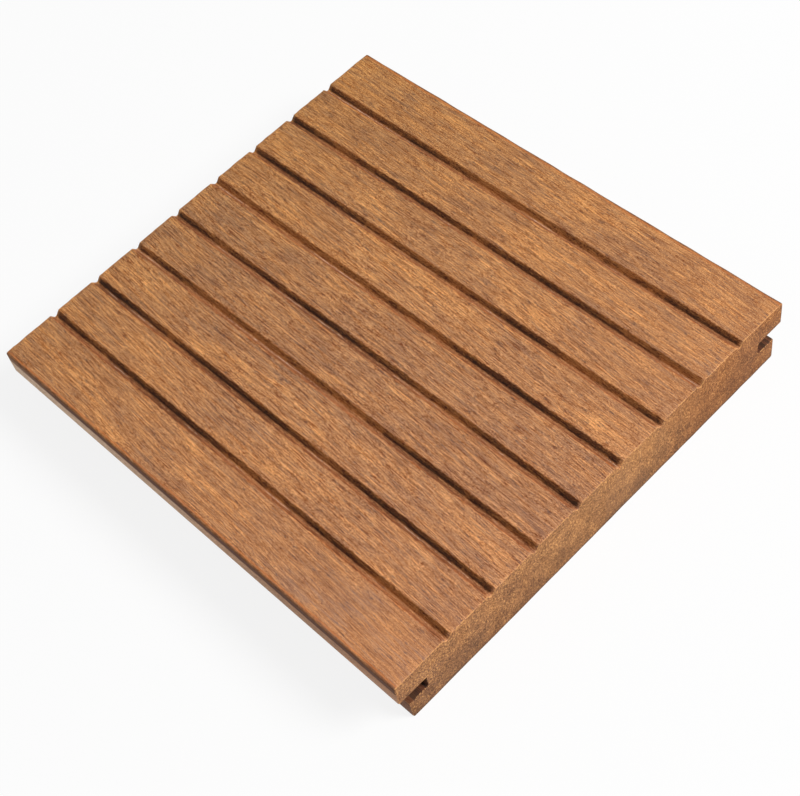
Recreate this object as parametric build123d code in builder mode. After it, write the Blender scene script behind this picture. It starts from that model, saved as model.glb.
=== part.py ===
"""Short length of grooved strand-woven bamboo decking board, slotted along both long edges for hidden clips.

The board is one pressed and moulded piece, so it is drawn as its section and run along the fibres.
Frame, in millimetres: +X along the fibres, +Y across the board, +Z up out of the grooved wear face.
The origin is at the middle of the flat underside.
"""

from build123d import *
import os

# Board blank
board_length = 150.0
board_width = 140.0
board_thickness = 20.0

# Clip slot along each long edge, and the lips that it leaves above and below
upper_lip = 8.1
slot_height = 4.4
slot_depth = 9.1
slot_root_radius = 0.6
lower_lip_setback = 2.7

# Eased edges of the lips
top_arris_radius = 0.6
slot_mouth_radius = 0.3
bottom_arris_radius = 0.8

# Grooves of the wear face, cut with a flat-nosed vee cutter and eased at their shoulders
groove_count = 8
groove_edge_distance = 17.15
groove_width = 2.7
groove_root_width = 0.5
groove_depth = 1.3
groove_root_radius = 0.2
groove_shoulder_radius = 0.5

# Places in the section, worked out from the sizes above
slot_top = board_thickness - upper_lip
slot_floor = slot_top - slot_height
lip_edge = board_width / 2
lower_edge = lip_edge - lower_lip_setback
slot_root = lip_edge - slot_depth
groove_root = board_thickness - groove_depth
groove_pitch = (board_width - 2 * groove_edge_distance) / (groove_count - 1)

# A corner within this distance of a place is at that place
SAME_PLACE = 1e-4


def corners(sketch, height, across=None):
    """Corners of the section at one height and, where it is given, one distance either side of the middle."""
    level = [corner for corner in sketch.vertices() if abs(corner.Y - height) < SAME_PLACE]
    if across is None:
        return level
    return [corner for corner in level if abs(abs(corner.X) - across) < SAME_PLACE]


with BuildPart() as decking_board:
    with BuildSketch(Plane.YZ) as section:
        Rectangle(board_width, board_thickness, align=(Align.CENTER, Align.MIN))

        # Lower lips, set back behind the upper ones
        with Locations((-lip_edge, 0), (lip_edge, 0)):
            Rectangle(2 * lower_lip_setback, 2 * slot_floor, mode=Mode.SUBTRACT)

        # Clip slots
        with Locations((-lip_edge, slot_floor), (lip_edge, slot_floor)):
            Rectangle(2 * slot_depth, slot_height, align=(Align.CENTER, Align.MIN), mode=Mode.SUBTRACT)
        fillet(corners(section, slot_floor, slot_root), slot_root_radius)
        fillet(corners(section, slot_top, slot_root), slot_root_radius)

        # Grooves, with eased roots and shoulders
        with Locations((0, board_thickness)):
            with GridLocations(groove_pitch, groove_pitch, groove_count, 1):
                Polygon(
                    (-groove_width / 2, 0),
                    (-groove_root_width / 2, -groove_depth),
                    (groove_root_width / 2, -groove_depth),
                    (groove_width / 2, 0),
                    align=None,
                    mode=Mode.SUBTRACT,
                )
        fillet(corners(section, groove_root), groove_root_radius)
        shoulders = [corner for corner in corners(section, board_thickness) if abs(corner.X) < slot_root]
        fillet(shoulders, groove_shoulder_radius)

        # Eased edges of the lips
        fillet(corners(section, board_thickness, lip_edge), top_arris_radius)
        fillet(corners(section, slot_top, lip_edge), slot_mouth_radius)
        fillet(corners(section, slot_floor, lower_edge), slot_mouth_radius)
        fillet(corners(section, 0, lower_edge), bottom_arris_radius)
    extrude(amount=board_length / 2, both=True)

decking_board.part.label = "decking_board"
os.makedirs("parts", exist_ok=True)
export_step(decking_board.part, "parts/decking_board.step")
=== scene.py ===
"""Dresses a short length of grooved decking board, pressed from strands of bamboo.

The board's worn mesh stands in for the plain solid, and a finish of pressed strands covers it.
A pale studio shows it.
The frame is the solid's own: +X along the fibres, +Y across the board, +Z out of the grooved wear face.
Blender works in metres. Sizes of the board's details are in millimetres, and MM turns them into metres.
"""

import logging
import math
from collections.abc import Mapping
from dataclasses import dataclass
from enum import Enum
from typing import ClassVar

import bmesh
import bpy
import numpy as np
from mathutils import Matrix, Vector

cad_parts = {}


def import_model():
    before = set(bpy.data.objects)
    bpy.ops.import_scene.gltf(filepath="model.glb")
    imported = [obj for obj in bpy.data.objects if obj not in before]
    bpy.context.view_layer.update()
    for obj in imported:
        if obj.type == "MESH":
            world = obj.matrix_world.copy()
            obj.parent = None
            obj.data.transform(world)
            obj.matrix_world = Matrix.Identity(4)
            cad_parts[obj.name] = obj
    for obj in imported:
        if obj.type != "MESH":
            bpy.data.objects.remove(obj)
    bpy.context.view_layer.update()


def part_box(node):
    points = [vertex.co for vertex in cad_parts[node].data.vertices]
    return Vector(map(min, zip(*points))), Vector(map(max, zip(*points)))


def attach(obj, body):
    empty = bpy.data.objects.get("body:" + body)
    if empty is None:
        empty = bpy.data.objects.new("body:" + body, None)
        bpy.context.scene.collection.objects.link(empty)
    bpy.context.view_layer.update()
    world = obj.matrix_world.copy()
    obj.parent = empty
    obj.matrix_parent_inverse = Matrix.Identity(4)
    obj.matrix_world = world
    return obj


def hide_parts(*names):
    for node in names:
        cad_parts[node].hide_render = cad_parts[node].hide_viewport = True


log = logging.getLogger("decking_board")

MM = 0.001
BODY = "root"
SOLID = "decking_board"

Colour = tuple[float, float, float, float]
Stops = tuple[tuple[float, Colour], ...]


WHITE: Colour = (1.0, 1.0, 1.0, 1.0)


def srgb(red: int, green: int, blue: int) -> Colour:
    """Colour for a shader from the values that a screen shows.

    Args:
        red: red from 0 to 255.
        green: green from 0 to 255.
        blue: blue from 0 to 255.

    Returns:
        The linear colour, opaque.
    """
    shares = [value / 255 for value in (red, green, blue)]
    linear = [share / 12.92 if share <= 0.04045 else ((share + 0.055) / 1.055) ** 2.4 for share in shares]
    return (*linear, 1.0)


class Wire:
    """One output of a shader graph, on which arithmetic adds the nodes that work it out."""

    def __init__(self, graph: "Graph", socket: bpy.types.NodeSocket) -> None:
        """Keeps the graph that the output belongs to, and the output itself."""
        self.graph = graph
        self.socket = socket

    @property
    def is_vector(self) -> bool:
        """Whether the output is a vector or a colour."""
        return self.socket.type in ("VECTOR", "RGBA")

    def __add__(self, other: "Term") -> "Wire":
        """Sum of this and another term."""
        return self.graph.calculate("ADD", self, other)

    def __radd__(self, other: "Term") -> "Wire":
        """Sum of another term and this."""
        return self.graph.calculate("ADD", other, self)

    def __sub__(self, other: "Term") -> "Wire":
        """This less another term."""
        return self.graph.calculate("SUBTRACT", self, other)

    def __rsub__(self, other: "Term") -> "Wire":
        """Another term less this."""
        return self.graph.calculate("SUBTRACT", other, self)

    def __mul__(self, other: "Term") -> "Wire":
        """Product of this and another term."""
        return self.graph.calculate("MULTIPLY", self, other)

    def __rmul__(self, other: "Term") -> "Wire":
        """Product of another term and this."""
        return self.graph.calculate("MULTIPLY", other, self)

    def __abs__(self) -> "Wire":
        """Size of this, whatever its sign."""
        return self.graph.calculate("ABSOLUTE", self)


Term = Wire | float | tuple[float, float, float]
Input = Wire | float | bool | tuple[float, ...]


class Graph:
    """Node tree of one material or of the world, built by calls that return wires."""

    def __init__(self, tree: bpy.types.NodeTree) -> None:
        """Empties the tree that the calls then fill."""
        tree.nodes.clear()
        self.tree = tree

    def node(
        self,
        kind: str,
        settings: Mapping[str, object] | None = None,
        inputs: Mapping[str | int, Input] | None = None,
    ) -> bpy.types.Node:
        """Adds one node.

        Args:
            kind: Blender's name for the node's type.
            settings: the node's own properties, set first; stops are (place, colour) pairs of a ramp.
            inputs: a value or a wire for each socket, by name or by number.

        Returns:
            The node.
        """
        node = self.tree.nodes.new(kind)
        for name, value in (settings or {}).items():
            if name == "stops":
                self.set_stops(node, value)
            else:
                setattr(node, name, value)
        for name, value in (inputs or {}).items():
            if isinstance(value, Wire):
                self.tree.links.new(value.socket, node.inputs[name])
            else:
                node.inputs[name].default_value = value
        return node

    def add(
        self,
        kind: str,
        settings: Mapping[str, object] | None = None,
        inputs: Mapping[str | int, Input] | None = None,
        output: str | int = 0,
    ) -> Wire:
        """Adds one node and takes one of its outputs, by name or by number, as a wire."""
        return Wire(self, self.node(kind, settings, inputs).outputs[output])

    @staticmethod
    def set_stops(node: bpy.types.Node, stops: Stops) -> None:
        """Gives a colour ramp its stops.

        Args:
            node: the colour ramp.
            stops: place from 0 to 1 and colour of each stop, in rising order.
        """
        elements = node.color_ramp.elements
        while len(elements) < len(stops):
            elements.new(1.0)
        for element, (place, colour) in zip(elements, stops):
            element.position = place
            element.color = colour

    @staticmethod
    def is_vector(term: Term) -> bool:
        """Whether a term is a vector or a colour."""
        return term.is_vector if isinstance(term, Wire) else isinstance(term, tuple)

    def calculate(self, operation: str, *terms: Term) -> Wire:
        """Adds a Math node, or a Vector Math node where a term is a vector.

        Args:
            operation: what the node does, such as MULTIPLY; a vector and a number are always multiplied.
            terms: the terms that it does that to.

        Returns:
            The result.
        """
        vectors = [term for term in terms if self.is_vector(term)]
        numbers = [term for term in terms if not self.is_vector(term)]
        if vectors and numbers:
            inputs = {0: vectors[0], "Scale": numbers[0]}
            return self.add("ShaderNodeVectorMath", {"operation": "SCALE"}, inputs)
        kind = "ShaderNodeVectorMath" if vectors else "ShaderNodeMath"
        return self.add(kind, {"operation": operation}, dict(enumerate(terms)))

    def mix(self, share: Input, first: Input, second: Input) -> Wire:
        """Mixes two colours.

        Args:
            share: how much of the second colour there is, from 0 to 1.
            first: colour where the share is 0.
            second: colour where the share is 1.

        Returns:
            The mixed colour.
        """
        colours = {0: share, 6: first, 7: second}
        return self.add("ShaderNodeMix", {"data_type": "RGBA"}, colours, 2)

    def rise(self, value: Wire, start: float, end: float) -> Wire:
        """Smooth step of a value.

        Args:
            value: what is measured.
            start: value at which the step is 0.
            end: value at which the step is 1, which may be the lower of the two.

        Returns:
            The step, from 0 to 1.
        """
        low, high = sorted((start, end))
        limits = {0: value, 1: low, 2: high, 3: float(start > end), 4: float(end > start)}
        return self.add("ShaderNodeMapRange", {"interpolation_type": "SMOOTHSTEP"}, limits)

    def parts(self, vector: Wire) -> tuple[Wire, Wire, Wire]:
        """The X, Y and Z parts of a vector."""
        outputs = self.node("ShaderNodeSeparateXYZ", None, {0: vector}).outputs
        return Wire(self, outputs[0]), Wire(self, outputs[1]), Wire(self, outputs[2])

    def join(self, x: Input, y: Input, z: Input) -> Wire:
        """A vector made of three numbers."""
        return self.add("ShaderNodeCombineXYZ", None, {0: x, 1: y, 2: z})


@dataclass(frozen=True)
class Grain:
    """Noise whose cells are drawn out along the fibres. Sizes are in millimetres."""

    # A grain is moved across the fibres this many times as far as along them
    SIDE_SHIFT: ClassVar[float] = 2.7

    length: float
    width: float
    detail: float = 0.0
    roughness: float = 0.5
    shift: float = 0.0

    def stretched(self, place: Wire) -> Wire:
        """Place in cells of this grain, moved aside so that no two grains match."""
        cells = place * (1 / self.length, 1 / self.width, 1 / self.width)
        return cells + (self.shift, self.SIDE_SHIFT * self.shift, -self.shift)

    def noise(self, graph: Graph, place: Wire) -> Wire:
        """Noise around zero, mostly within a quarter to either side.

        Args:
            graph: graph that takes the nodes.
            place: where on the board, in millimetres.

        Returns:
            The noise.
        """
        inputs = {"Vector": self.stretched(place), "Scale": 1.0}
        inputs |= {"Detail": self.detail, "Roughness": self.roughness}
        return graph.add("ShaderNodeTexNoise", None, inputs) - 0.5

    def drift(self, graph: Graph, place: Wire) -> Wire:
        """Three noises at once as a vector around zero, to push a place aside by.

        Args:
            graph: graph that takes the nodes.
            place: where on the board, in millimetres.

        Returns:
            The vector.
        """
        inputs = {"Vector": self.stretched(place), "Scale": 1.0, "Detail": self.detail}
        cloud = graph.add("ShaderNodeTexNoise", None, inputs, 1)
        noises = [graph.add("ShaderNodeSeparateColor", None, {0: cloud}, part) for part in range(3)]
        return graph.join(*noises) - (0.5, 0.5, 0.5)

    def strands(self, graph: Graph, place: Wire) -> tuple[Wire, Wire]:
        """Two random values around zero for each strand.

        Args:
            graph: graph that takes the nodes.
            place: where on the board, in millimetres.

        Returns:
            The strand's tone and its hue, each from -0.5 to 0.5.
        """
        inputs = {"Vector": self.stretched(place), "Scale": 1.0}
        cell = graph.add("ShaderNodeTexVoronoi", {"feature": "F1"}, inputs, "Color")
        red, green = (graph.add("ShaderNodeSeparateColor", None, {0: cell}, part) for part in range(2))
        return red - 0.5, green - 0.5


@dataclass(frozen=True)
class Corner:
    """One corner of the section, in millimetres, and how the run that leaves it is divided."""

    across: float
    up: float
    radius: float = 0.0
    facets: int = 1
    spacing: float = 4.0

    @property
    def point(self) -> np.ndarray:
        """The corner as a point of the section."""
        return np.array((self.across, self.up))


def eased(before: Corner, corner: Corner, after: Corner) -> list[np.ndarray]:
    """Points that round one corner off.

    Args:
        before: the corner that the run comes from.
        corner: the corner itself.
        after: the corner that the run goes to.

    Returns:
        The points of its arc, or the corner alone where it is sharp.
    """
    if not corner.radius:
        return [corner.point]
    inward = corner.point - before.point
    inward /= np.linalg.norm(inward)
    outward = after.point - corner.point
    outward /= np.linalg.norm(outward)
    turn = math.atan2(inward[0] * outward[1] - inward[1] * outward[0], inward @ outward)
    start = corner.point - inward * corner.radius * math.tan(abs(turn) / 2)
    spoke = math.copysign(corner.radius, -turn) * np.array((-inward[1], inward[0]))
    centre = start - spoke
    points = []
    for step in range(corner.facets + 1):
        angle = turn * step / corner.facets
        cosine, sine = math.cos(angle), math.sin(angle)
        turned = (cosine * spoke[0] - sine * spoke[1], sine * spoke[0] + cosine * spoke[1])
        points.append(centre + np.array(turned))
    return points


@dataclass(frozen=True)
class Wander:
    """Smooth random lines, for the way that cutters, saws and torn fibres leave an edge uneven."""

    spacing: float
    reach: float
    seed: int

    def lines(self, along: np.ndarray, count: int) -> np.ndarray:
        """Several lines at once.

        Args:
            along: places along the board, in millimetres.
            count: how many lines to draw.

        Returns:
            One row for each place and one column for each line, from minus the reach to the reach.
        """
        # Two knots past the last whole step, so that every place lies between two
        knots = int(np.ptp(along) / self.spacing) + 3
        values = np.random.default_rng(self.seed).uniform(-self.reach, self.reach, (knots, count))
        steps = (along - along.min()) / self.spacing
        before = np.floor(steps).astype(int)
        share = (steps - before)[:, None]
        share = share * share * (3 - 2 * share)
        return values[before] * (1 - share) + values[before + 1] * share


@dataclass(frozen=True)
class BoardSection:
    """Section of the board, in millimetres: grooved above, flat below, a clip slot along each edge."""

    width: float
    thickness: float
    upper_lip: float = 8.1
    slot_height: float = 4.4
    slot_depth: float = 9.1
    slot_root_radius: float = 0.6
    lower_lip_setback: float = 2.7
    top_arris_radius: float = 0.6
    slot_mouth_radius: float = 0.3
    bottom_arris_radius: float = 0.8
    groove_count: int = 8
    groove_edge_distance: float = 17.15
    groove_width: float = 2.7
    groove_root_width: float = 0.5
    groove_depth: float = 1.3
    groove_root_radius: float = 0.2
    groove_shoulder_radius: float = 0.5

    # How far the cutters had drifted towards +Y
    cutter_drift: float = 0.22

    # Widest gap between points of the mesh on the lands and on the grooves' flanks
    land_spacing: float = 1.2
    flank_spacing: float = 0.5

    @property
    def slot_top(self) -> float:
        """Height of the slots' top."""
        return self.thickness - self.upper_lip

    @property
    def slot_floor(self) -> float:
        """Height of the slots' floor."""
        return self.slot_top - self.slot_height

    @property
    def slot_root(self) -> float:
        """Distance of the slots' roots from the middle."""
        return self.width / 2 - self.slot_depth

    @property
    def groove_places(self) -> np.ndarray:
        """Distance of each groove from the middle, from -Y to +Y."""
        last = self.width / 2 - self.groove_edge_distance
        return np.linspace(-last, last, self.groove_count)

    @property
    def groove_pitch(self) -> float:
        """Distance from one groove to the next."""
        return (self.width - 2 * self.groove_edge_distance) / (self.groove_count - 1)

    def edge_corners(self) -> list[Corner]:
        """Corners of the +Y edge of the board.

        Returns:
            The corners from the middle of the underside, round the slot and up to the wear face.
        """
        lip_edge = self.width / 2
        lower_edge = lip_edge - self.lower_lip_setback
        return [
            Corner(0.0, 0.0),
            Corner(lower_edge, 0.0, self.bottom_arris_radius, facets=3),
            Corner(lower_edge, self.slot_floor, self.slot_mouth_radius, facets=2),
            Corner(self.slot_root, self.slot_floor, self.slot_root_radius, facets=2),
            Corner(self.slot_root, self.slot_top, self.slot_root_radius, facets=2),
            Corner(lip_edge, self.slot_top, self.slot_mouth_radius, facets=2),
            Corner(lip_edge, self.thickness, self.top_arris_radius, 5, self.land_spacing),
        ]

    def groove_corners(self, place: float) -> list[Corner]:
        """Corners of one groove.

        Args:
            place: distance of the groove from the middle.

        Returns:
            The corners from its +Y shoulder, over its root, to its -Y shoulder.
        """
        half = self.groove_width / 2
        half_root = self.groove_root_width / 2
        root = self.thickness - self.groove_depth
        return [
            Corner(place + half, self.thickness, self.groove_shoulder_radius, 3, self.flank_spacing),
            Corner(place + half_root, root, self.groove_root_radius, 2, self.flank_spacing),
            Corner(place - half_root, root, self.groove_root_radius, 2, self.flank_spacing),
            Corner(place - half, self.thickness, self.groove_shoulder_radius, 3, self.land_spacing),
        ]

    def outline(self) -> np.ndarray:
        """The whole section as one ring of points.

        Returns:
            Rows of (across, up), counter-clockwise seen from +X, from the middle of the underside.
        """
        corners = self.edge_corners()
        for place in self.groove_places[::-1][: self.groove_count // 2]:
            corners += self.groove_corners(place)
        corners.append(Corner(0.0, self.thickness))
        points = [corners[0].point]
        for before, corner, after in zip(corners, corners[1:], corners[2:]):
            arc = eased(before, corner, after)
            points += self.divided(points[-1], arc[0], before.spacing) + arc
        points += self.divided(points[-1], corners[-1].point, corners[-2].spacing)
        half = np.array(points)
        mirrored = (half * (-1, 1))[:0:-1]
        return np.vstack((half, [corners[-1].point], mirrored))

    @staticmethod
    def divided(start: np.ndarray, end: np.ndarray, spacing: float) -> list[np.ndarray]:
        """Points between two others that leave no gap wider than the spacing."""
        pieces = math.ceil(np.linalg.norm(end - start) / spacing)
        return [start + (end - start) * step / pieces for step in range(1, pieces)]


@dataclass(frozen=True)
class Step:
    """Smooth step of a value: 0 at its start and 1 at its end, which may be the lower of the two."""

    start: float
    end: float

    def of(self, value: Wire) -> Wire:
        """The step of a value, from 0 to 1."""
        return value.graph.rise(value, self.start, self.end)


@dataclass(frozen=True)
class Band:
    """Two limits with soft edges outside them."""

    low: float
    high: float
    blur: float

    def of(self, value: Wire) -> Wire:
        """How far a value lies between the limits, from 0 to 1."""
        above = value.graph.rise(value, self.low - self.blur, self.low)
        return above * value.graph.rise(value, self.high + self.blur, self.high)


@dataclass(frozen=True)
class Tint:
    """A colour that is laid where a measured value rises, and its greatest share."""

    colour: Colour
    rise: Step | Band
    share: float

    def over(self, under: Input, value: Wire, where: Input = 1.0) -> Wire:
        """Lays the colour over another.

        Args:
            under: the colour so far.
            value: the measured value.
            where: how far the place can take the colour.

        Returns:
            The mixed colour.
        """
        return value.graph.mix(self.rise.of(value) * self.share * where, under, self.colour)


@dataclass
class Spot:
    """What a finish knows about a point of the board's surface. Lengths are in millimetres.

    The distances from the top, the edge and the end run inwards from the wear face, from the nearer long edge
    and from the nearer sawn end.
    """

    graph: Graph
    place: Wire
    fibre_place: Wire
    along: Wire
    across: Wire
    up: Wire
    from_top: Wire
    from_edge: Wire
    from_end: Wire
    facing_across: Wire
    facing_along: Wire
    cut_end: Wire


@dataclass
class Look:
    """What the layers of the finish have made of a point of the surface so far."""

    colour: Wire
    shade: Wire
    height: Wire

    def toned(self, colour: Colour, share: float) -> Wire:
        """A plain colour with a share of the shade that the fine fibres add."""
        rest = 1 - share
        return (self.shade * share + (rest, rest, rest)) * colour[:3]


# Colours and grains that several parts of the finish use
GROOVE_DARK = srgb(92, 51, 27)
END_DARK = srgb(72, 44, 28)
END_PALE = srgb(216, 158, 98)
TORN = Grain(0.9, 0.5, 1.0, 0.6, 79.1)
BREAKS = Grain(5.0, 2.0, 2.0, 0.7, 61.3)
LONG_FIBRES = Grain(14.0, 0.6, 1.0, 0.5, 17.9)


@dataclass(frozen=True)
class PressedStrands:
    """Bamboo strands as the press left them, under a thin stain. Lengths are in millimetres."""

    bundles: Grain = Grain(9.0, 0.80, shift=1.3)
    strands: Grain = Grain(4.5, 0.34, shift=5.9)
    fibres: Grain = Grain(6.0, 0.17, 1.0, 0.6, 11.3)
    flecks: Grain = Grain(0.48, 0.16, 1.0, 0.7, 41.1)
    specks: Grain = Grain(2.0, 0.32, shift=97.3)
    hairs: Grain = Grain(6.0, 0.5, shift=107.9)
    clouds: Grain = Grain(26.0, 9.0, 2.0, 0.5, 23.1)
    stain_clouds: Grain = Grain(15.0, 6.0, 1.0, 0.5, 31.7)
    tones: Stops = (
        (0.00, srgb(92, 72, 62)),
        (0.28, srgb(147, 102, 72)),
        (0.50, srgb(181, 124, 78)),
        (0.72, srgb(214, 146, 85)),
        (1.00, srgb(244, 168, 100)),
    )
    shades: Stops = (
        (0.0, (0.110, 0.035, 0.000, 1.0)),
        (0.5, (0.333, 0.333, 0.333, 1.0)),
        (1.0, (0.556, 0.660, 0.750, 1.0)),
    )
    shade_range: float = 3.0

    # Thin dark hair lines, where a noise crosses zero
    hair_bend: float = 0.1
    hair_line: Step = Step(0.07, 0.02)
    hair_mean: float = 0.25

    # Share of each pattern in the relief, and where the relief is crisp or soft
    hair_relief: float = 0.26
    fibre_relief: float = 1.2
    fleck_relief: float = 2.1
    relief_contrast: float = 1.15
    crisp_line: float = -8.0
    crisp: Step = Step(62.0, 6.0)
    least_crisp: float = 0.8
    crisp_gain: float = 0.3
    softer_along: Step = Step(0.0, 90.0)
    softer_loss: float = 0.32

    # Corner beside the near end and the -Y edge, where the stain is rubbed along the fibres
    smeared_across: Step = Step(-50.0, -60.0)
    smeared_along: Step = Step(0.0, 60.0)
    smeared_loss: float = 0.35
    smeared_stain: float = 0.1
    smeared_streaks: float = 0.7

    # Share of each pattern in the tone
    strand_body: float = 0.16
    long_fibre_body: float = 0.42
    body_tone: float = 0.95
    fibre_tone: float = 0.2
    bundle_tone: float = 0.1
    cloud_tone: float = 0.38
    # Painted pool of light: the lands lighter towards the near end and the -Y edge
    painted_light_along: float = 0.00045
    painted_light_across: float = -0.0003
    darker: Band = Band(-24.0, 0.0, 10.0)
    darker_tone: float = 0.07

    # Grey specks, patches of stain, and a slow change to cooler wood
    specked: Tint = Tint(srgb(92, 74, 68), Step(0.17, 0.27), 0.55)
    speck_relief: float = 0.15
    cloud_stain: float = 0.36
    bundle_stain: float = 0.06
    strand_stain: float = 0.12
    greyer: Tint = Tint(srgb(150, 124, 106), Step(0.0, 0.36), 0.55)
    oranger: Tint = Tint(srgb(200, 130, 66), Step(0.0, -0.36), 0.45)
    cooler_along: float = 0.0016
    cooler_across: float = -0.0010

    def relief(self, spot: Spot, fibres: Wire, smeared: Wire) -> Wire:
        """Works out the height of the fine fibres.

        Args:
            spot: the point of the surface.
            fibres: noise of the thin fibres.
            smeared: how far the point is in the smeared corner.

        Returns:
            The height, around zero.
        """
        flecks = self.flecks.noise(spot.graph, spot.fibre_place)
        hairs = self.hairs.noise(spot.graph, spot.fibre_place)
        hair = self.hair_line.of(abs(hairs + flecks * self.hair_bend))
        relief = fibres * self.fibre_relief + flecks * self.fleck_relief
        relief = relief - (hair - self.hair_mean) * self.hair_relief
        middle = self.crisp.of(abs(spot.across - self.crisp_line)) * self.crisp_gain + self.least_crisp
        relief = relief * middle * (1 - self.softer_along.of(spot.along) * self.softer_loss)
        return relief * (1 - smeared * self.smeared_loss)

    def look(self, spot: Spot) -> Look:
        """Lays the strands.

        Args:
            spot: the point of the surface.

        Returns:
            The strands' colour, the shade that the fine fibres add to it, and their height around zero.
        """
        graph = spot.graph
        bundle, bundle_hue = self.bundles.strands(graph, spot.fibre_place)
        strand, strand_hue = self.strands.strands(graph, spot.fibre_place)
        fibres = self.fibres.noise(graph, spot.fibre_place)
        long_fibres = LONG_FIBRES.noise(graph, spot.fibre_place)
        smeared = self.smeared_across.of(spot.across) * self.smeared_along.of(spot.along)
        relief = self.relief(spot, fibres, smeared)

        body = strand * self.strand_body + long_fibres * self.long_fibre_body
        clouds = self.clouds.noise(graph, spot.place)
        tone = 0.5 + fibres * self.fibre_tone + body * self.body_tone
        tone = tone + bundle * self.bundle_tone + clouds * self.cloud_tone
        # Painted pool of light: lighter towards the near end and the -Y edge
        tone = tone + spot.across * self.painted_light_across + spot.along * self.painted_light_along
        tone = tone - self.darker.of(spot.across) * self.darker_tone
        colour = graph.add("ShaderNodeValToRGB", {"stops": self.tones}, {0: tone})
        steepness = relief * self.relief_contrast + 0.5
        shade = graph.add("ShaderNodeValToRGB", {"stops": self.shades}, {0: steepness}) * self.shade_range
        colour = colour * shade

        specks = self.specks.noise(graph, spot.fibre_place) - relief * self.speck_relief
        colour = self.specked.over(colour, specks)
        stain = self.stain_clouds.noise(graph, spot.fibre_place) * self.cloud_stain
        stain = stain + bundle_hue * self.bundle_stain + strand_hue * self.strand_stain
        stain = stain + smeared * (long_fibres * self.smeared_streaks + self.smeared_stain)
        colour = self.oranger.over(self.greyer.over(colour, stain), stain)
        cooler = 1 + spot.along * self.cooler_along + spot.across * self.cooler_across
        return Look(colour * graph.join(1.0, 1.0, cooler), shade, relief + body)


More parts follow.
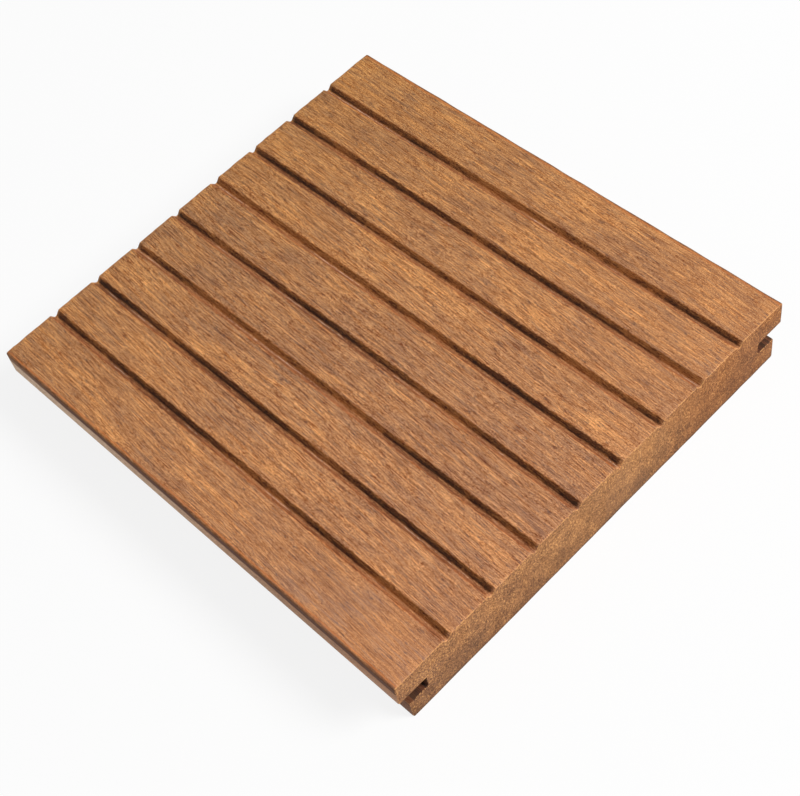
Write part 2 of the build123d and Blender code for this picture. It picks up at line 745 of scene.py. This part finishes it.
@dataclass(frozen=True)
class GrooveStain:
    """Painted shade on the far flanks, worn near flanks and a painted highlight along the roots of the
    grooves. Lengths are in millimetres.
    """

    stain_depth: Grain = Grain(50.0, 11.0, 1.0, 0.6, 53.9)
    dust: Grain = Grain(24.0, 9.0, 2.0, 0.7, 67.7)
    brown: Colour = srgb(168, 105, 54)
    deep_shade: Colour = srgb(30, 16, 10)
    flank_red: Colour = srgb(138, 74, 36)
    root_grey: Colour = srgb(138, 90, 56)
    shoulder_orange: Colour = srgb(190, 108, 52)
    shade_share: float = 0.85

    # Where the grooves are: how torn their edges look, and what keeps them off the lips, ends and flats
    torn_depth: float = 0.8
    torn_offset: float = 0.5
    torn_end: float = 1.5
    slot_clearance: float = 1.5
    above: Step = Step(3.0, 2.5)
    end_fade: Step = Step(0.1, 1.5)
    side_fade: Step = Step(1.8, 1.5)
    below: Step = Step(0.10, 0.22)
    far: Step = Step(0.14, 0.34)

    # Painted shade on the far flanks, brown to dark by a noise, with black patches near the bottom
    stain: Step = Step(-0.4, 0.4)
    depth_stain: float = 2.2
    break_stain: float = 1.5
    torn_stain: float = 1.2
    height_stain: float = 0.5
    bottom: Step = Step(0.6, 0.95)
    break_bottom: float = 1.6
    torn_bottom: float = 0.9
    shade_patches: Step = Step(0.14, -0.08)
    break_shade: float = 0.5
    black_share: float = 0.85
    least_black: float = 0.03
    patches: Tint = Tint(GROOVE_DARK, Step(0.05, -0.15), 0.8)

    # Lines along the groove: its shoulders, a painted shade line at its near edge, its root, and a painted
    # highlight along the root
    broken: Step = Step(-0.1, 0.12)
    shoulder: Band = Band(0.06, 0.35, 0.07)
    shoulder_share: float = 0.25
    broken_share: float = 0.35
    # Painted shade line along the near edge of each groove
    edge: Tint = Tint(GROOVE_DARK, Band(-1.22, -0.98, 0.08), 0.8)
    edge_hidden: Step = Step(0.8, 1.8)
    edge_loss: float = 0.8
    deep: Step = Step(0.8, 1.1)
    root: Band = Band(-0.4, 0.12, 0.12)
    root_share: float = 0.95
    stained_root: float = 0.3
    highlit: Step = Step(0.02, 0.16)
    height_highlight: float = 0.15
    highlight_line: Tint = Tint(srgb(232, 206, 184), Band(-0.24, -0.17, 0.04), 0.75)
    cover: float = 0.94
    thin_cover: float = 0.3

    def offset(self, spot: Spot, section: BoardSection, torn: Wire) -> Wire:
        """Distance across the board from the middle of the nearest groove.

        Args:
            spot: the point of the surface.
            section: the board's section.
            torn: noise of the torn fibres.

        Returns:
            The distance, negative on the -Y side of the groove.
        """
        first = float(section.groove_places[0]) + section.cutter_drift
        turn = spot.graph.calculate("FRACT", (spot.across - first) * (1 / section.groove_pitch) + 0.5)
        return (turn - 0.5) * section.groove_pitch + torn * self.torn_offset

    def lay(self, spot: Spot, look: Look, section: BoardSection) -> Wire:
        """Colours the grooves.

        Args:
            spot: the point of the surface.
            look: its look so far.
            section: the board's section.

        Returns:
            The colour with the grooves' own.
        """
        graph = spot.graph
        torn = TORN.noise(graph, spot.place)
        breaks = BREAKS.noise(graph, spot.place)
        deeper = self.stain_depth.noise(graph, spot.place)
        depth = spot.from_top + torn * self.torn_depth
        offset = self.offset(spot, section, torn)
        beside_slot = Step(section.slot_depth, section.slot_depth + self.slot_clearance)
        wear = beside_slot.of(spot.from_edge) * (1 - spot.cut_end) * self.above.of(spot.from_top)
        wear = wear * self.end_fade.of(spot.from_end + torn * self.torn_end)
        wear = wear * self.side_fade.of(abs(offset))
        below = self.below.of(depth) * wear
        far = self.far.of(offset)

        stain = deeper * self.depth_stain + breaks * self.break_stain + torn * self.torn_stain
        stain = self.stain.of(stain + look.height * self.height_stain)
        # The far flanks take painted shade, brown to dark, and black in patches near the bottom
        shaded = graph.mix(stain, GROOVE_DARK, self.brown)
        bottom = self.bottom.of(depth + breaks * self.break_bottom + torn * self.torn_bottom)
        bottom = bottom * self.shade_patches.of(deeper + breaks * self.break_shade)
        shaded = graph.mix(bottom * self.black_share + self.least_black, shaded, self.deep_shade)

        broken = self.broken.of(breaks)
        shoulder = self.shoulder.of(depth) * wear * (self.shoulder_share + broken * self.broken_share)
        edge = wear * (1 - self.edge_hidden.of(stain + broken) * self.edge_loss)
        deep = self.deep.of(depth) * wear
        root = self.root.of(offset) * deep * (self.root_share - stain * self.stained_root)
        # Painted highlight along the flat root, broken by noise
        highlit = self.highlit.of(self.dust.noise(graph, spot.place) + look.height * self.height_highlight)

        groove = graph.mix(root, self.flank_red, self.root_grey)
        groove = self.patches.over(groove, deeper, 1 - stain)
        groove = graph.mix(far, groove, shaded) * look.toned(WHITE, self.shade_share)
        colour = graph.mix(shoulder, look.colour, look.toned(self.shoulder_orange, self.shade_share))
        colour = graph.mix(below * (self.cover - (1 - far) * stain * self.thin_cover), colour, groove)
        # A painted shade line at the near edge, then the painted highlight along the root
        return self.highlight_line.over(self.edge.over(colour, offset, edge), offset, deep * highlit)


@dataclass(frozen=True)
class EdgeStain:
    """Stain along the long edges, a painted reflection on their -Y side, and painted shade under the upper
    lips and in the slots. Lengths are in millimetres.
    """

    dark: Colour = srgb(96, 58, 38)
    # Colour of the painted reflection on the -Y side of the upper lip
    dust: Colour = srgb(250, 214, 182)
    # Painted shade of the slots, darkest at the root
    slot_shade: Colour = srgb(30, 14, 8)
    slot_brown: Colour = srgb(96, 54, 34)
    shade_share: float = 0.6
    torn_edge: float = 0.5
    lip_fade: float = 0.6

    # Painted reflection of the pale floor on the side of the upper lip, on the -Y side only and most of it at
    # the far end
    side: Step = Step(1.2, 0.7)
    side_below: Step = Step(0.6, 1.4)
    highlit_side: Step = Step(1.0, -1.0)
    highlit_along: Step = Step(75.0, -72.0)
    highlight_gain: float = 0.78
    least_highlight: float = 0.1

    # Dark line along the arris, and the worn flat beside it
    dark_out: Step = Step(0.8, 0.5)
    dark_below: Step = Step(3.4, 2.4)
    torn_dark: float = 0.6
    dark_rim: Step = Step(0.0, 0.8)
    dark_along: Step = Step(-76.0, -45.0)
    torn_along: float = 20.0
    along_gain: float = 0.4
    dark_share: float = 0.93
    worn: Tint = Tint(srgb(196, 112, 54), Band(0.7, 1.1, 0.2), 0.5)
    worn_top: Step = Step(0.7, 0.3)
    arris: Step = Step(0.55, 0.3)
    arris_side: Step = Step(0.0, 1.0)
    arris_share: float = 0.6

    # Painted shade on the lower lip, which the upper lip overhangs, and in the slot above it
    lower_fade: float = 0.4
    facing_out: Step = Step(0.3, 0.7)
    lower_shade_share: float = 0.7
    slot_start: float = 0.2
    slot_fade: float = 0.4
    slot_mouth: Step = Step(0.5, 1.5)
    slot_margin: float = 0.05
    slot_blur: float = 0.2
    slot_deep: Step = Step(3.1, 7.6)
    slot_share: float = 0.86
    deep_share: float = 0.1
    streaks: Step = Step(-0.18, 0.18)

    def lay(self, spot: Spot, look: Look, section: BoardSection) -> Wire:
        """Colours the sides of the upper lips, and then the lower lips and the slots.

        Args:
            spot: the point of the surface.
            look: its look so far.
            section: the board's section.

        Returns:
            The colour with the edges' own.
        """
        graph = spot.graph
        torn = TORN.noise(graph, spot.place) + BREAKS.noise(graph, spot.place)
        edge = spot.from_edge + torn * self.torn_edge
        above_slot = Step(section.slot_top - self.lip_fade, section.slot_top)
        outside = above_slot.of(spot.up) * (1 - spot.cut_end)
        side = self.side.of(edge) * outside * self.side_below.of(spot.from_top)
        # Painted reflection of the pale floor, most of it at the far end
        highlit = self.highlit_along.of(spot.along) * self.highlight_gain + self.least_highlight
        highlit = highlit * side * self.highlit_side.of(spot.across)
        dark = self.dark_out.of(edge) * self.dark_below.of(spot.from_top - torn * self.torn_dark)
        dark = dark * outside * (self.dark_rim.of(spot.from_top) * 0.5 + 0.5)
        faded = self.dark_along.of(spot.along + torn * self.torn_along)
        dark = dark * (faded * self.along_gain + (1 - self.along_gain))
        arris = self.arris.of(edge) * self.arris_side.of(spot.across) * outside
        dark_wood = look.toned(self.dark, self.shade_share)
        colour = graph.mix(highlit * (1 - dark), look.colour, look.toned(self.dust, self.shade_share))
        colour = self.worn.over(colour, edge, self.worn_top.of(spot.from_top) * outside)
        colour = graph.mix(dark * self.dark_share, colour, dark_wood)
        colour = graph.mix(arris * self.arris_share, colour, dark_wood)
        # Painted shade on the lower lip, under the overhang of the upper lip
        lower_shade = Step(section.slot_floor, section.slot_floor - self.lower_fade).of(spot.up)
        lower_shade = lower_shade * self.facing_out.of(abs(spot.facing_across)) * (1 - spot.cut_end)
        colour = graph.mix(lower_shade * self.lower_shade_share, colour, dark_wood)
        # Painted shade inside the slots
        return graph.mix(self.slot(spot, section), colour, self.shaded_slot_wood(spot, look))

    def slot(self, spot: Spot, section: BoardSection) -> Wire:
        """How far the point is inside a clip slot.

        Args:
            spot: the point of the surface.
            section: the board's section.

        Returns:
            The share of the slot's painted shade.
        """
        start = section.slot_depth + self.slot_start
        root = Step(start + self.slot_fade, start)
        floor, top = section.slot_floor - self.slot_margin, section.slot_top + self.slot_margin
        height = Band(floor, top, self.slot_blur)
        inside = root.of(spot.from_edge) * self.slot_mouth.of(spot.from_edge)
        inside = inside * height.of(spot.up) * (1 - spot.cut_end)
        return inside * (self.slot_share + self.slot_deep.of(spot.from_edge) * self.deep_share)

    def shaded_slot_wood(self, spot: Spot, look: Look) -> Wire:
        """Streaks the slots' painted shade.

        Args:
            spot: the point of the surface.
            look: its look so far.

        Returns:
            The wood inside a slot, darkened by painted shade.
        """
        streaks = self.streaks.of(LONG_FIBRES.noise(spot.graph, spot.place))
        shaded = spot.graph.mix(streaks, self.slot_shade, self.slot_brown)
        return shaded * look.toned(WHITE, self.shade_share)


@dataclass(frozen=True)
class SawnEnds:
    """Speckle of cut strands on the sawn ends, darkened low down by painted shade. Lengths are in
    millimetres.
    """

    pores: Grain = Grain(1.0, 0.5, 1.0, 0.7, 71.9)
    strand_ends: Grain = Grain(1.0, 0.5, shift=83.3)
    mottles: Grain = Grain(6.0, 4.5, 2.0, 0.6, 89.9)
    brown: Colour = srgb(130, 88, 52)
    red: Colour = srgb(146, 84, 40)

    # Speckle
    brown_share: float = 0.65
    pore_tone: float = 1.5
    strand_tone: float = 0.3
    mottle_tone: float = 0.5
    paler: Tint = Tint(END_PALE, Step(0.02, 0.34), 0.65)
    darker: Tint = Tint(END_DARK, Step(0.0, -0.34), 0.75)
    sparks: Tint = Tint(END_PALE, Step(0.38, 0.5), 0.6)

    # Redder wood towards +Y, paler wood in the middle, painted shade that darkens the end towards the floor,
    # and a darker line along the bottom edge
    edge_mottle: float = 30.0
    redder: Step = Step(18.0, 46.0)
    red_share: float = 0.45
    red_dark: Tint = Tint(END_DARK, Step(0.1, -0.3), 0.6)
    red_pale: Tint = Tint(END_PALE, Step(0.1, 0.4), 0.5)
    middle: Tint = Tint(END_PALE, Band(-14.0, 14.0, 16.0), 0.1)
    shade_mottle: float = 20.0
    low: Tint = Tint(END_DARK, Step(15.0, -3.0), 0.41)
    bottom: Tint = Tint(END_DARK, Step(1.0, 0.3), 0.6)

    # Pale line along the rim, a painted highlight where the eased edge turns from the end to the faces,
    # broken by noise
    rim: Tint = Tint(END_PALE, Band(0.35, 0.8, 0.15), 0.75)
    rim_broken: Step = Step(-0.08, 0.1)

    def lay(self, spot: Spot, look: Look) -> Wire:
        """Colours the sawn ends.

        Args:
            spot: the point of the surface.
            look: its look so far.

        Returns:
            The colour with the ends' own.
        """
        graph = spot.graph
        pores = self.pores.noise(graph, spot.place)
        mottles = self.mottles.noise(graph, spot.place)
        strand, _ = self.strand_ends.strands(graph, spot.place)
        tone = pores * self.pore_tone + strand * self.strand_tone + mottles * self.mottle_tone
        grain = graph.mix(self.brown_share, look.colour, self.brown)
        grain = self.darker.over(self.paler.over(grain, tone), tone)
        grain = self.sparks.over(grain, strand + pores)

        across = spot.across + mottles * self.edge_mottle
        red = self.red_pale.over(self.red_dark.over(self.red, tone), tone)
        grain = graph.mix(self.redder.of(across) * self.red_share, grain, red)
        grain = self.middle.over(grain, across)
        # Painted shade: the end darkens towards the floor
        grain = self.low.over(grain, spot.up + mottles * self.shade_mottle)
        grain = self.bottom.over(grain, spot.up)

        colour = graph.mix(spot.cut_end, look.colour, grain)
        # Painted highlight along the rim of each sawn end
        torn = self.rim_broken.of(TORN.noise(graph, spot.place))
        return self.rim.over(colour, abs(spot.facing_along), torn)


@dataclass(frozen=True)
class StrandFinish:
    """Finish of the whole board, laid in layers. Lengths are in millimetres."""

    section: BoardSection
    length: float
    name: str = "strand_woven_bamboo"
    strands: PressedStrands = PressedStrands()
    grooves: GrooveStain = GrooveStain()
    edges: EdgeStain = EdgeStain()
    ends: SawnEnds = SawnEnds()

    # How the fibres slant across the board and waver
    slant: float = 0.047
    coarse_waver: Grain = Grain(60.0, 22.0, shift=3.1)
    coarse_reach: float = 2.4
    fine_waver: Grain = Grain(9.0, 3.0, shift=7.7)
    fine_reach: float = 0.1
    cut_end: Step = Step(0.6, 0.9)

    # Sheen: a satin surface, duller on the sawn ends
    roughness: float = 0.7
    height_roughness: float = 0.1
    end_roughness: float = 0.2
    bump_strength: float = 0.4
    bump_distance: float = 0.05
    shine: float = 0.22

    def spot(self, graph: Graph) -> Spot:
        """Reads where a point of the surface lies and which way it faces.

        Args:
            graph: graph that takes the nodes.

        Returns:
            The spot, whose fibres slant and waver.
        """
        place = graph.add("ShaderNodeTexCoord", None, None, "Object") * (1 / MM)
        along, across, up = graph.parts(place)
        waver = self.coarse_waver.drift(graph, place) * (0.0, self.coarse_reach, self.coarse_reach)
        waver = waver + self.fine_waver.drift(graph, place) * (0.0, self.fine_reach, self.fine_reach)
        normal = graph.add("ShaderNodeTexCoord", None, None, "Normal")
        facing_along, facing_across, _ = graph.parts(normal)
        return Spot(
            graph=graph,
            place=place,
            fibre_place=place + waver + graph.join(0.0, along * self.slant, 0.0),
            along=along,
            across=across,
            up=up,
            from_top=self.section.thickness - up,
            from_edge=self.section.width / 2 - abs(across),
            from_end=self.length / 2 - abs(along),
            facing_across=facing_across,
            facing_along=facing_along,
            cut_end=self.cut_end.of(abs(facing_along)),
        )

    def build(self) -> bpy.types.Material:
        """Builds the material.

        Returns:
            The finish, for a mesh that lies at the origin of the frame.
        """
        material = bpy.data.materials.new(self.name)
        material.use_nodes = True
        graph = Graph(material.node_tree)
        spot = self.spot(graph)
        look = self.strands.look(spot)
        look.colour = self.grooves.lay(spot, look, self.section)
        look.colour = self.edges.lay(spot, look, self.section)
        look.colour = self.ends.lay(spot, look)
        roughness = self.roughness + look.height * self.height_roughness + spot.cut_end * self.end_roughness
        bumps = {"Strength": self.bump_strength, "Distance": self.bump_distance * MM, "Height": look.height}
        surface = {
            "Base Color": look.colour,
            "Roughness": roughness,
            "Normal": graph.add("ShaderNodeBump", None, bumps),
            "Specular IOR Level": self.shine,
        }
        shader = graph.add("ShaderNodeBsdfPrincipled", None, surface)
        graph.node("ShaderNodeOutputMaterial", None, {"Surface": shader})
        return material


@dataclass
class Board:
    """The board as it was cut and worn. Lengths are in millimetres."""

    section: BoardSection
    length: float
    finish: StrandFinish
    station_spacing: float = 0.5
    ragged_edge: Wander = Wander(0.8, 0.07, 11)
    wandering_edge: Wander = Wander(7.0, 0.05, 12)
    root_depth: Wander = Wander(9.0, 0.06, 13)
    worn_arris: Wander = Wander(6.0, 0.05, 14)
    fibre_relief: Wander = Wander(2.6, 0.03, 15)

    # Chips torn from the grooves' edges
    chip_count: int = 120
    chip_length: tuple[float, float] = (0.6, 2.0)
    chip_reach: tuple[float, float] = (0.1, 0.35)
    chip_seed: int = 16
    chip_sharpness: float = 0.7

    # How far the marks of the cutters reach, and the lengths over which they fade out
    cut_depth: float = 2.5
    flank_taper: float = 0.5
    root_reach: float = 1.0
    drift_reach: float = 1.6
    ragged_start: float = 0.3
    ragged_end: float = 1.0
    ragged_taper: float = 0.8
    land_depth: float = 0.01

    # Wear of the arrises and of the sawn ends' rims
    arris_reach: float = 2.0
    arris_taper: float = 1.2
    worn_end: float = 0.6
    worn_rim: float = 0.28
    rim_mean: float = 0.55
    rim_variation: float = 0.4
    rim_spacing: float = 1.6
    end_seeds: tuple[int, int] = (21, 22)
    end_facets: int = 3
    sharp_angle: float = 42.0

    def stations(self) -> np.ndarray:
        """Places along the board of the rings of its mesh, from one sawn end to the other."""
        last = self.length / 2 - self.worn_end
        return np.linspace(-last, last, round(2 * last / self.station_spacing) + 1)

    def chips(self, along: np.ndarray, edges: int) -> np.ndarray:
        """Depth of the chips torn from the grooves' edges.

        Args:
            along: places along the board.
            edges: how many edges there are.

        Returns:
            One row for each place and one column for each edge.
        """
        rng = np.random.default_rng(self.chip_seed)
        depth = np.zeros((len(along), edges))
        for _ in range(self.chip_count):
            middle = rng.uniform(along[0], along[-1])
            half = rng.uniform(*self.chip_length) / 2
            share = np.clip(1 - np.abs(along - middle) / half, 0, 1) ** self.chip_sharpness
            bite = rng.uniform(*self.chip_reach) * share
            edge = rng.integers(edges)
            depth[:, edge] = np.maximum(depth[:, edge], bite)
        return depth

    def worn_rings(self, along: np.ndarray, outline: np.ndarray) -> np.ndarray:
        """The section at each station, with the marks of cutting and wear.

        Args:
            along: places of the stations.
            outline: the plain section.

        Returns:
            Points by station, by point of the section, as (across, up).
        """
        rings = np.repeat(outline[None], len(along), axis=0)
        self.cut_grooves(rings, along, outline)
        up = outline[:, 1]
        relief = self.fibre_relief.lines(along, len(outline)) - self.fibre_relief.reach
        rings[:, :, 1] += relief * (up > self.section.thickness - self.land_depth)
        self.wear_arrises(rings, along, outline)
        return rings

    def cut_grooves(self, rings: np.ndarray, along: np.ndarray, outline: np.ndarray) -> None:
        """Lets the grooves' roots, flanks and edges wander, with chips torn from the edges.

        Args:
            rings: the section at each station, which this moves.
            along: places of the stations.
            outline: the plain section.
        """
        across, up = outline.T
        below_face = self.section.thickness - up
        near_face = below_face < self.cut_depth
        half = self.section.groove_width / 2
        count = self.section.groove_count
        ragged = self.ragged_edge.reach + self.wandering_edge.reach
        ragged = ragged + self.ragged_edge.lines(along, 2 * count)
        ragged = ragged + self.wandering_edge.lines(along, 2 * count)
        ragged = ragged + self.chips(along, 2 * count)
        roots = self.root_depth.lines(along, count) + self.root_depth.reach
        for groove, place in enumerate(self.section.groove_places):
            offset = across - place
            below = np.clip(below_face / self.flank_taper, 0, 1) * (np.abs(offset) < half) * near_face
            below = below * np.clip(self.root_reach - np.abs(offset), 0, 1)
            rings[:, :, 1] -= roots[:, groove, None] * below
            drifted = np.clip(half + self.drift_reach - np.abs(offset), 0, 1) * near_face
            rings[:, :, 0] += self.section.cutter_drift * drifted
            for side, direction in enumerate((-1, 1)):
                reach = offset * direction
                share = np.clip((reach - self.ragged_start) / self.ragged_taper, 0, 1)
                share = share * np.clip((half + self.ragged_end - reach) / self.ragged_taper, 0, 1)
                rings[:, :, 0] += direction * ragged[:, 2 * groove + side, None] * share * near_face

    def wear_arrises(self, rings: np.ndarray, along: np.ndarray, outline: np.ndarray) -> None:
        """Wears the upper edges of the two long sides.

        Args:
            rings: the section at each station, which this moves.
            along: places of the stations.
            outline: the plain section.
        """
        across, up = outline.T
        worn = self.worn_arris.lines(along, 2) + self.worn_arris.reach
        near_face = np.clip((up - self.section.thickness + self.arris_reach) / self.arris_taper, 0, 1)
        for side, direction in enumerate((-1, 1)):
            out = across * direction - self.section.width / 2
            share = np.clip((out + self.arris_reach) / self.arris_taper, 0, 1) * near_face
            rings[:, :, 0] -= direction * worn[:, side, None] * share
            rings[:, :, 1] -= worn[:, side, None] * share

    def end_rings(self, ring: np.ndarray, end: float, seed: int) -> list[np.ndarray]:
        """Rings that ease the edge of one sawn end.

        Args:
            ring: the section where the easing begins.
            end: -1 for the far end and 1 for the near one.
            seed: seed of the end's own wear.

        Returns:
            The rings from the easing's start to the end face, as (along, across, up).
        """
        ahead = np.roll(ring, -1, axis=0) - np.roll(ring, 1, axis=0)
        ahead /= np.linalg.norm(ahead, axis=1)[:, None]
        inward = np.stack((-ahead[:, 1], ahead[:, 0]), axis=1)
        step = np.linalg.norm(np.roll(ring, -1, axis=0) - ring, axis=1)
        wear = Wander(self.rim_spacing, self.rim_variation, seed).lines(np.cumsum(step), 1)
        share = self.rim_mean + wear
        rings = []
        for facet in range(1, self.end_facets + 1):
            angle = math.radians(90) * facet / self.end_facets
            along = end * (self.length / 2 - self.worn_end * (1 - math.sin(angle)))
            eased_ring = ring + inward * share * self.worn_rim * (1 - math.cos(angle))
            rings.append(np.column_stack((np.full(len(ring), along), eased_ring)))
        return rings

    def mesh(self) -> bpy.types.Mesh:
        """Builds the closed mesh.

        Returns:
            The mesh, in metres, at the board's place in the frame.
        """
        along = self.stations()
        outline = self.section.outline()
        worn = self.worn_rings(along, outline)
        rings = [np.column_stack((np.full(len(outline), x), ring)) for x, ring in zip(along, worn)]
        far_seed, near_seed = self.end_seeds
        far_end = self.end_rings(worn[0], -1.0, far_seed)[::-1]
        rings = far_end + rings + self.end_rings(worn[-1], 1.0, near_seed)
        points = np.vstack(rings) * MM
        count = len(outline)
        first = np.arange(len(rings) - 1)[:, None] * count
        here = np.arange(count)[None]
        there = (here + 1) % count
        after = first + count
        walls = np.stack((first + here, first + there, after + there, after + here), axis=-1)
        near = (len(rings) - 1) * count
        caps = [list(range(count))[::-1], list(range(near, near + count))]
        mesh = bpy.data.meshes.new("board")
        mesh.from_pydata(points.tolist(), [], walls.reshape(-1, 4).tolist() + caps)
        self.close_ends(mesh)
        return mesh

    def close_ends(self, mesh: bpy.types.Mesh) -> None:
        """Cuts the two end faces into triangles and shades the mesh.

        Args:
            mesh: the board's mesh, whose ends are one face each.
        """
        editing = bmesh.new()
        editing.from_mesh(mesh)
        ends = [face for face in editing.faces if len(face.verts) > 4]
        for face in editing.faces:
            face.smooth = len(face.verts) == 4
        bmesh.ops.triangulate(editing, faces=ends)
        editing.to_mesh(mesh)
        editing.free()
        mesh.set_sharp_from_angle(angle=math.radians(self.sharp_angle))

    def build(self) -> bpy.types.Object:
        """Builds the board and hands it to the frame.

        Returns:
            The board.
        """
        mesh = self.mesh()
        mesh.materials.append(self.finish.build())
        board = bpy.data.objects.new("board", mesh)
        bpy.context.scene.collection.objects.link(board)
        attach(board, BODY)
        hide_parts(SOLID)
        log.info("%s: %d faces", board.name, len(mesh.polygons))
        return board


class Sight(Enum):
    """How a pale surface is seen: as a plain background, or by the light that falls on it."""

    FLOOR = 0.86
    WORLD = 1.0


@dataclass(frozen=True)
class Studio:
    """Pale floor, soft lamp, dim surroundings. Lengths are in metres."""

    floor_size: float = 6.0
    floor_white: Colour = (0.9, 0.9, 0.9, 1.0)
    background: Colour = WHITE
    ambient: float = 0.24
    lamp_towards: tuple[float, float, float] = (0.85, 0.65, 1.0)
    lamp_distance: float = 2.0
    lamp_size: float = 0.9
    lamp_power: float = 43.0

    def background_share(self, graph: Graph, sight: Sight) -> Wire:
        """How much of a surface is plain background for the ray that meets it.

        Args:
            graph: graph that takes the nodes.
            sight: which surface it is.

        Returns:
            The share, which is 0 for rays that carry light to the board.
        """
        rays = graph.node("ShaderNodeLightPath").outputs
        seen = Wire(graph, rays["Is Camera Ray"]) + Wire(graph, rays["Is Glossy Ray"])
        seen = seen + Wire(graph, rays["Is Transmission Ray"])
        return graph.add("ShaderNodeMath", {"operation": "MINIMUM"}, {0: seen, 1: 1.0}) * sight.value

    def floor(self) -> bpy.types.Object:
        """Builds the floor.

        Returns:
            The floor.
        """
        material = bpy.data.materials.new("studio_floor")
        material.use_nodes = True
        graph = Graph(material.node_tree)
        share = self.background_share(graph, Sight.FLOOR)
        lit = graph.add("ShaderNodeBsdfDiffuse", None, {"Color": self.floor_white})
        plain = graph.add("ShaderNodeEmission", None, {"Color": self.background, "Strength": 1.0})
        shader = graph.add("ShaderNodeMixShader", None, {0: share, 1: lit, 2: plain})
        graph.node("ShaderNodeOutputMaterial", None, {"Surface": shader})
        half = self.floor_size / 2
        corners = [(-half, -half, 0.0), (half, -half, 0.0), (half, half, 0.0), (-half, half, 0.0)]
        mesh = bpy.data.meshes.new("floor")
        mesh.from_pydata(corners, [], [(0, 1, 2, 3)])
        mesh.materials.append(material)
        floor = bpy.data.objects.new("floor", mesh)
        bpy.context.scene.collection.objects.link(floor)
        return floor

    def lamp(self) -> bpy.types.Object:
        """Builds the soft lamp, which points at the board.

        Returns:
            The lamp.
        """
        light = bpy.data.lights.new("soft_lamp", "AREA")
        light.shape = "DISK"
        light.size = self.lamp_size
        light.energy = self.lamp_power
        lamp = bpy.data.objects.new("soft_lamp", light)
        towards = Vector(self.lamp_towards).normalized()
        lamp.rotation_euler = towards.to_track_quat("Z", "Y").to_euler()
        lamp.location = towards * self.lamp_distance
        bpy.context.scene.collection.objects.link(lamp)
        return lamp

    def world(self) -> bpy.types.World:
        """Builds the surroundings, white behind the board and dim as light.

        Returns:
            The world.
        """
        world = bpy.data.worlds.new("studio")
        world.use_nodes = True
        graph = Graph(world.node_tree)
        share = self.background_share(graph, Sight.WORLD)
        dim = graph.add("ShaderNodeBackground", None, {"Color": self.background, "Strength": self.ambient})
        plain = graph.add("ShaderNodeBackground", None, {"Color": self.background, "Strength": 1.0})
        shader = graph.add("ShaderNodeMixShader", None, {0: share, 1: dim, 2: plain})
        graph.node("ShaderNodeOutputWorld", None, {"Surface": shader})
        bpy.context.scene.world = world
        return world

    def build(self) -> None:
        """Builds the floor, the lamp and the surroundings."""
        self.floor()
        self.lamp()
        self.world()
        bpy.context.scene.view_settings.view_transform = "Standard"
        log.info("studio: floor, lamp and surroundings")


@dataclass(frozen=True)
class Viewpoint:
    """Camera, placed round a point of the wear face. Lengths are in millimetres and angles in degrees."""

    aim: tuple[float, float, float] = (20.45, -27.77, 20.0)
    distance: float = 396.89
    azimuth: float = -30.62
    elevation: float = 55.67
    roll: float = 16.71
    lens: float = 71.49
    sensor: float = 36.0
    shift: tuple[float, float] = (0.0523, 0.0521)

    def build(self) -> bpy.types.Object:
        """Builds the camera and makes it the scene's own.

        Returns:
            The camera.
        """
        azimuth, elevation = math.radians(self.azimuth), math.radians(self.elevation)
        level = math.cos(elevation)
        back = Vector((level * math.cos(azimuth), level * math.sin(azimuth), math.sin(elevation)))
        place = Matrix.Translation((Vector(self.aim) + back * self.distance) * MM)
        turn = back.to_track_quat("Z", "Y").to_matrix().to_4x4()
        data = bpy.data.cameras.new("camera")
        data.sensor_width = self.sensor
        data.lens = self.lens
        data.shift_x, data.shift_y = self.shift
        camera = bpy.data.objects.new("camera", data)
        camera.matrix_world = place @ turn @ Matrix.Rotation(math.radians(-self.roll), 4, "Z")
        bpy.context.scene.collection.objects.link(camera)
        bpy.context.scene.camera = camera
        return camera


def main() -> None:
    """Builds the board, the studio and the camera."""
    logging.basicConfig(level=logging.INFO, format="%(name)s: %(message)s")
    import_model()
    low, high = (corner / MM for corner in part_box(SOLID))
    size = high - low
    Viewpoint().build()
    Studio().build()
    section = BoardSection(width=size.y, thickness=size.z)
    finish = StrandFinish(section, length=size.x)
    Board(section, size.x, finish).build()


if __name__ == "__main__":
    main()
